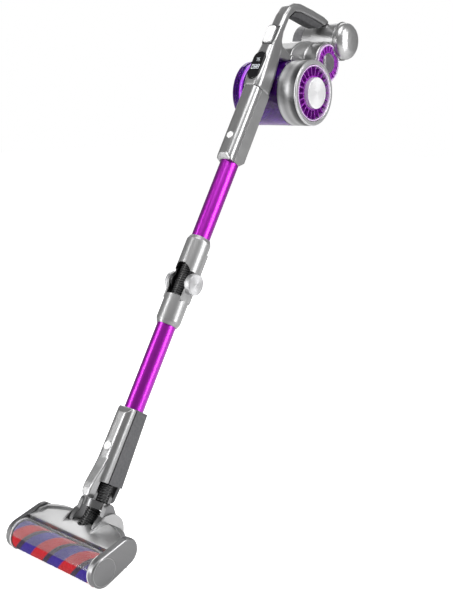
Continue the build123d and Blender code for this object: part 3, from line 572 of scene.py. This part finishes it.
# Name, node, lower and upper end, radius, distance from rib to rib, lower and upper body
for hose_row in (
    ("fold_hose", "fold_bellows", *fold_ends, 0.0158, 0.005, "lower_wand", "upper_wand"),
    ("lean_hose", "lean_bellows", *lean_ends, 0.0166, 0.0048, "yoke", "neck"),
    ("pitch_hose", "pitch_bellows", *pitch_ends, 0.0156, 0.0048, "floor_head", "yoke"),
):
    hose(*hose_row)


def wand_points(positions):
    """Points as rows of (across, behind, along) in the wand's own directions."""
    turn = np.array([tuple(ACROSS), tuple(BACK), tuple(UP)])
    return positions @ turn.T


def distance_to(node, points):
    """How far each wand-frame point is from the node's box in the wand's directions."""
    mesh = NODES[node].data
    corners = np.empty(len(mesh.vertices) * 3)
    mesh.vertices.foreach_get("co", corners)
    corners = wand_points(corners.reshape(-1, 3))
    outside = np.maximum(corners.min(0) - points, points - corners.max(0))
    return np.linalg.norm(np.maximum(outside, 0), axis=1)


# Each round button's radius and half its depth
BUTTONS = {"head_release_button": (0.0085, 0.0039), "wand_release_button": (0.0075, 0.0034)}
BUTTON_TRAVEL = 0.0025
BUTTON_FLOOR_GAP = 0.0011
BUTTON_SIDE_GAP = 0.0005


def clear_pocket(positions, node):
    """Move the points that stand in a button's way to the nearest wall or floor of its pocket."""
    radius, half_depth = BUTTONS[node]
    back = np.array(BACK)
    offset = positions - np.array(centre(node))
    depth = offset @ back
    flat = offset - depth[:, None] * back
    reach = np.linalg.norm(flat, axis=1)
    to_floor = half_depth + BUTTON_TRAVEL + BUTTON_FLOOR_GAP - depth
    to_wall = radius + BUTTON_SIDE_GAP - reach
    inside = (to_floor > 0) & (to_wall > 0)
    down = inside & (to_floor < to_wall)
    aside = inside & ~down
    positions[down] += to_floor[down, None] * back
    positions[aside] += (to_wall / np.maximum(reach, 1e-6))[aside, None] * flat[aside]


SEAM_GAP = 0.00002
SMOOTHING = 0.6
CRISP_FADE = 0.006


def remeshed(name, nodes, voxel):
    """The nodes' meshes joined into one even skin."""
    shape = bmesh.new()
    for node in nodes:
        shape.from_mesh(NODES[node].data)
    bmesh.ops.remove_doubles(shape, verts=shape.verts, dist=SEAM_GAP)
    rough = bpy.data.meshes.new(f"{name}_rough")
    shape.to_mesh(rough)
    shape.free()
    holder = bpy.data.objects.new(f"{name}_rough", rough)
    bpy.context.scene.collection.objects.link(holder)
    remesh = holder.modifiers.new("even", "REMESH")
    remesh.mode = "VOXEL"
    remesh.voxel_size = voxel
    depsgraph = bpy.context.evaluated_depsgraph_get()
    skin = bpy.data.meshes.new_from_object(holder.evaluated_get(depsgraph))
    bpy.data.objects.remove(holder)
    return skin


def smoothed(skin, positions, rounds, crisp, margin):
    """The skin's points after so many rounds of smoothing, held still near the crisp nodes."""
    count = len(positions)
    edges = np.empty(len(skin.edges) * 2, dtype=int)
    skin.edges.foreach_get("vertices", edges)
    first, second = edges.reshape(-1, 2).T
    valence = np.bincount(edges, minlength=count)[:, None]
    points = wand_points(positions)
    free = np.ones(count)
    for node in crisp:
        away = distance_to(node, points) - margin
        free = np.minimum(free, np.clip(away / CRISP_FADE, 0, 1))
    free = free[:, None]
    for _ in range(rounds):
        total = np.zeros_like(positions)
        for axis in range(3):
            total[:, axis] = (
                np.bincount(first, positions[second, axis], count)
                + np.bincount(second, positions[first, axis], count)
            )
        average = total / np.maximum(valence, 1)
        positions = positions + SMOOTHING * free * (average - positions)
    return positions


def softened(name, nodes, body, voxel, rounds, crisp, margin):
    """The nodes as one skin whose edges melt away, except near the crisp nodes."""
    skin = remeshed(name, nodes, voxel)
    positions = np.empty(len(skin.vertices) * 3)
    skin.vertices.foreach_get("co", positions)
    positions = smoothed(skin, positions.reshape(-1, 3), rounds, crisp, margin)
    for node in crisp:
        if node in BUTTONS:
            clear_pocket(positions, node)
    skin.vertices.foreach_set("co", positions.ravel())
    skin.update()
    shape = bmesh.new()
    shape.from_mesh(skin)
    piece = new_piece(name, shape, body, silver)
    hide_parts(*nodes)


# Name, nodes, body, voxel size, rounds of smoothing, crisp nodes, and how far round them
# the skin stays as it is
for skin_row in (
    ("handle_body", ["handle_left", "handle_right"], "main_unit", 0.0011, 16,
     ["display_lens", "switch_bezel", "dust_cup", "main_neck_front"], 0.0012),
    ("motor_body", ["motor_housing"], "main_unit", 0.0013, 12,
     ["exhaust_rings", "dust_cup", "filter_drum"], 0.0012),
    ("neck_front", ["neck_front_shell"], "neck", 0.0008, 12, ["head_release_button"], 0.0035),
    ("main_neck_skin", ["main_neck_front"], "main_unit", 0.0008, 14,
     ["wand_release_button"], 0.0035),
):
    softened(*skin_row)


PILE_ROWS = 236
PILE_COLUMNS = 190
PILE_END_ROWS = 4
PILE_END_DROP = 0.0022
PILE_SET_IN = 0.0005
PILE_DEPTH = 0.0066
# Noise cycles in a metre, and height
PILE_TUFTS = ((420, 0.0006), (150, 0.0004))


def pile():
    """The soft roller: a tufted sleeve with rolled-in ends, uneven to the touch."""
    low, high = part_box("roller_plush")
    length, radius = high[0] - low[0], (high[2] - low[2]) / 2
    core = radius - PILE_DEPTH
    angles = [2 * math.pi * column / PILE_COLUMNS for column in range(PILE_COLUMNS)]
    spokes = [Vector((0, math.cos(angle), math.sin(angle))) for angle in angles]
    shape = bmesh.new()

    def ring_at(x, reaches):
        hub = Vector((x, ROLLER.y, ROLLER.z))
        return [shape.verts.new(hub + out * reach) for out, reach in zip(spokes, reaches)]

    def join(ring, after):
        for column in range(PILE_COLUMNS):
            ahead = (column + 1) % PILE_COLUMNS
            shape.faces.new((ring[column], ring[ahead], after[ahead], after[column]))

    rows = []
    for row in range(PILE_ROWS + 1):
        x = low[0] + length * row / PILE_ROWS
        edge = min(row, PILE_ROWS - row) / PILE_END_ROWS
        dip = PILE_END_DROP * max(0.0, 1 - edge) ** 2
        reaches = []
        for out in spokes:
            spot = Vector((x, 0, 0)) + out * radius
            tuft = sum(noise.noise(spot * cycles) * tall for cycles, tall in PILE_TUFTS)
            reaches.append(radius - dip - PILE_SET_IN + tuft)
        rows.append(ring_at(x, reaches))
    for ring, after in zip(rows, rows[1:]):
        join(ring, after)
    for ring, x in ((rows[0], low[0]), (rows[-1], high[0])):
        join(ring, ring_at(x, [core] * PILE_COLUMNS))
    bmesh.ops.recalc_face_normals(shape, faces=shape.faces)
    piece = new_piece("roller_pile", shape, "roller", plush)
    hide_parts("roller_plush")


pile()


RING_SOFTNESS = 0.3


def ring_outline(inner, outer, half_height):
    """A low ring, softened at its upper edges, as a closed (radius, height) outline."""
    soft = min(half_height, outer - inner) * RING_SOFTNESS
    return [
        (inner, -half_height), (inner, half_height - soft), (inner + soft, half_height),
        (outer - soft, half_height), (outer, half_height - soft), (outer, -half_height),
    ]


# The dark ring let into each round button's face is painted shade: it stands for the fine groove
# round the face. The button's body has the node's name.
BUTTON_RING_INSET = 0.002
BUTTON_RING_WIDTH = 0.0006
BUTTON_RING_HALF = 0.00012
BUTTON_RING_STEPS = 64
for button, (button_radius, half_depth) in BUTTONS.items():
    inner = button_radius - BUTTON_RING_INSET
    outline = ring_outline(inner, inner + BUTTON_RING_WIDTH, BUTTON_RING_HALF)
    shape = turned(outline, centre(button) - BACK * half_depth, -BACK, BUTTON_RING_STEPS)
    new_piece(f"{button}_ring", shape, button, silver_dark)

RING_STEPS = 96
# Bright violet rings on the clear cup, its lid and the shroud are painted highlights: they stand
# for the bright arcs that light makes on the cup's curved walls
violet = gloss_look("violet_painted_highlight", (0.36, 0.035, 0.72), (0.50, 0.08, 0.90), 0.12)
CUP_AXIS = centre("cyclone_shroud")
CUP_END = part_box("dust_cup")[0][0]
# Name, body, inner and outer radius, distance from the cup's end, half width
for name, body, inner, outer, inset, half in (
    ("lid_painted_highlight", "cup_lid", 0.0610, 0.0645, 0.0070, 0.0030),
    ("cup_painted_highlight", "main_unit", 0.0690, 0.0695, 0.0200, 0.0045),
    ("shroud_painted_highlight", "main_unit", 0.0365, 0.0395, 0.0330, 0.0016),
):
    hub = Vector((CUP_END + inset, CUP_AXIS.y, CUP_AXIS.z))
    shape = turned(ring_outline(inner, outer, half), hub, -ACROSS, RING_STEPS)
    new_piece(name, shape, body, violet)

# The fine rim on each end cap's outer face
RIM_INNER = 0.0255
RIM_OUTER = 0.0264
RIM_HALF = 0.0005
RIM_SUNK = 0.0006
RIM_HEIGHT = 0.030
for side, node in ((-1, "end_cap_left"), (1, "end_cap_right")):
    low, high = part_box(node)
    face_x = high[0] if side > 0 else low[0]
    hub = Vector((face_x - side * RIM_SUNK, ROLLER.y, low[2] + RIM_HEIGHT))
    outline = ring_outline(RIM_INNER, RIM_OUTER, RIM_HALF)
    shape = turned(outline, hub, ACROSS * side, RING_STEPS)
    new_piece(f"{node}_rim", shape, "floor_head", silver_light)


# Display digits


SEGMENTS = {"0": "abcdef", "5": "afgcd", "7": "abc", "8": "abcdefg"}
LENS_FRONT = 0.0021
BAR_RAISED = 0.00025
BAR_SUNK = 0.0003
# Parts of a bar's width, and of a digit's height
BAR_TIP = 0.1
BAR_SHOULDER = 1.1
DIGIT_WIDTH = 0.48
STROKE_WIDTH = 0.07
# Digits, left edge, base and step of a row on the lens, and the digits' height
DIGIT_ROWS = (
    ("75", -0.0052, 0.0085, 0.0062, 0.0078),
    ("088", -0.0098, -0.0095, 0.0073, 0.0098),
)


def add_bar(shape, start, end, width, face):
    """A six-sided bar of a digit, raised from the lens, between two (across, up) points."""
    start, end = Vector(start), Vector(end)
    unit = (end - start).normalized()
    tip, shoulder = unit * BAR_TIP * width, unit * (width / 2) * BAR_SHOULDER
    side = Vector((-unit.y, unit.x)) * (width / 2)
    outline = [
        start + tip, start + shoulder + side, end - shoulder + side,
        end - tip, end - shoulder - side, start + shoulder - side,
    ]
    front = [shape.verts.new(on_wand(face, p.x, -BAR_RAISED, p.y)) for p in outline]
    back = [shape.verts.new(on_wand(face, p.x, BAR_SUNK, p.y)) for p in outline]
    shape.faces.new(front)
    shape.faces.new(list(reversed(back)))
    for index in range(len(outline)):
        ahead = (index + 1) % len(outline)
        shape.faces.new((front[index], back[index], back[ahead], front[ahead]))


def add_digit(shape, digit, left, base, tall, face):
    """A seven-segment digit whose lower left corner is at (left, base) on the face."""
    wide, stroke = tall * DIGIT_WIDTH, tall * STROKE_WIDTH
    right, top, waist = left + wide, base + tall, base + tall / 2
    bars = {
        "a": ((left, top), (right, top)), "b": ((right, waist), (right, top)),
        "c": ((right, base), (right, waist)), "d": ((left, base), (right, base)),
        "e": ((left, base), (left, waist)), "f": ((left, waist), (left, top)),
        "g": ((left, waist), (right, waist)),
    }
    for name in SEGMENTS[digit]:
        add_bar(shape, *bars[name], stroke, face)


lens_face = on_wand(centre("display_lens"), 0, -LENS_FRONT, 0)
digits = bmesh.new()
for row_digits, left, base, step, tall in DIGIT_ROWS:
    for column, digit in enumerate(row_digits):
        add_digit(digits, digit, left + step * column, base, tall, lens_face)
bmesh.ops.recalc_face_normals(digits, faces=digits.faces)
new_piece("display_digits", digits, "main_unit", lit_white)


# Stage


def area_light(name, place, target, size, power):
    lamp = bpy.data.lights.new(name, "AREA")
    lamp.shape = "RECTANGLE"
    lamp.size, lamp.size_y = size
    lamp.energy = power
    holder = bpy.data.objects.new(name, lamp)
    bpy.context.scene.collection.objects.link(holder)
    holder.location = place
    holder.rotation_mode = "QUATERNION"
    holder.rotation_quaternion = (target - place).to_track_quat("-Z", "Y")


def heading(azimuth, elevation):
    """Unit vector towards a viewer at that azimuth and elevation, in degrees."""
    turn, rise = math.radians(azimuth), math.radians(elevation)
    return Vector((
        math.sin(turn) * math.cos(rise), -math.cos(turn) * math.cos(rise), math.sin(rise),
    ))


VIEW_AZIMUTH = 40.62
VIEW_ELEVATION = 13.28
VIEW_PLACE = Vector((1.2638, -0.9971, 0.8469))
VIEW_LENS = 55.46
VIEW_SHIFT = (0.0016, 0.0328)
WORLD_LIGHT = 0.22
WORLD_SHOWN = 1.0
FLOOR_GLOW = 0.06
FLOOR_SHOWN = 0.85
FLOOR_HALF = 12
FLOOR_DROP = 0.0003

scene = bpy.context.scene
scene.view_settings.view_transform = "Standard"
camera_data = bpy.data.cameras.new("view")
camera_data.lens = VIEW_LENS
camera_data.shift_x, camera_data.shift_y = VIEW_SHIFT
camera = bpy.data.objects.new("view", camera_data)
scene.collection.objects.link(camera)
camera.location = VIEW_PLACE
camera.rotation_mode = "QUATERNION"
camera.rotation_quaternion = (-heading(VIEW_AZIMUTH, VIEW_ELEVATION)).to_track_quat("-Z", "Y")
scene.camera = camera

low, high = (Vector(corner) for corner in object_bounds())
middle = (low + high) / 2
# Name, azimuth, elevation, distance, width and height, watts
for lamp_name, azimuth, elevation, distance, size, power in (
    ("left_box", VIEW_AZIMUTH - 70, 15, 2.4, (0.55, 2.8), 42),
    ("right_box", VIEW_AZIMUTH + 66, 18, 2.4, (0.7, 2.8), 58),
    ("top_box", VIEW_AZIMUTH + 5, 72, 2.6, (1.8, 1.8), 40),
    ("rear_box", VIEW_AZIMUTH + 180, 35, 2.8, (2.4, 1.6), 24),
):
    area_light(lamp_name, middle + heading(azimuth, elevation) * distance, middle, size, power)

# The world and the floor are brighter to the camera than the light that they give.
world = bpy.data.worlds.new("studio")
world.use_nodes = True
scene.world = world
tree = world.node_tree
shown = tree.nodes.new("ShaderNodeBackground")
shown.inputs["Color"].default_value = (1, 1, 1, 1)
shown.inputs["Strength"].default_value = WORLD_SHOWN
around = tree.nodes["Background"]
around.inputs["Color"].default_value = (1, 1, 1, 1)
around.inputs["Strength"].default_value = WORLD_LIGHT
switch = tree.nodes.new("ShaderNodeMixShader")
path = tree.nodes.new("ShaderNodeLightPath")
tree.links.new(path.outputs["Is Camera Ray"], switch.inputs["Fac"])
tree.links.new(around.outputs[0], switch.inputs[1])
tree.links.new(shown.outputs[0], switch.inputs[2])
tree.links.new(switch.outputs[0], tree.nodes["World Output"].inputs["Surface"])

floor_look = Finish("pale_floor", Roughness=0.8)
floor_look.colour(floor_look.noise(3, 3), (0.84, 0.84, 0.84), (0.88, 0.88, 0.88))
floor_look.shader.inputs["Emission Color"].default_value = (1, 1, 1, 1)
seen = floor_look.add("ShaderNodeLightPath")
glow = floor_look.span(seen.outputs["Is Camera Ray"], FLOOR_GLOW, FLOOR_SHOWN)
floor_look.link(glow, floor_look.shader.inputs["Emission Strength"])
floor_mesh = bpy.data.meshes.new("floor")
floor_shape = bmesh.new()
bmesh.ops.create_grid(floor_shape, x_segments=4, y_segments=4, size=FLOOR_HALF)
floor_shape.to_mesh(floor_mesh)
floor = bpy.data.objects.new("floor", floor_mesh)
floor.location.z = low.z - FLOOR_DROP
floor.data.materials.append(floor_look.material)
scene.collection.objects.link(floor)
floor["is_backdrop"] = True
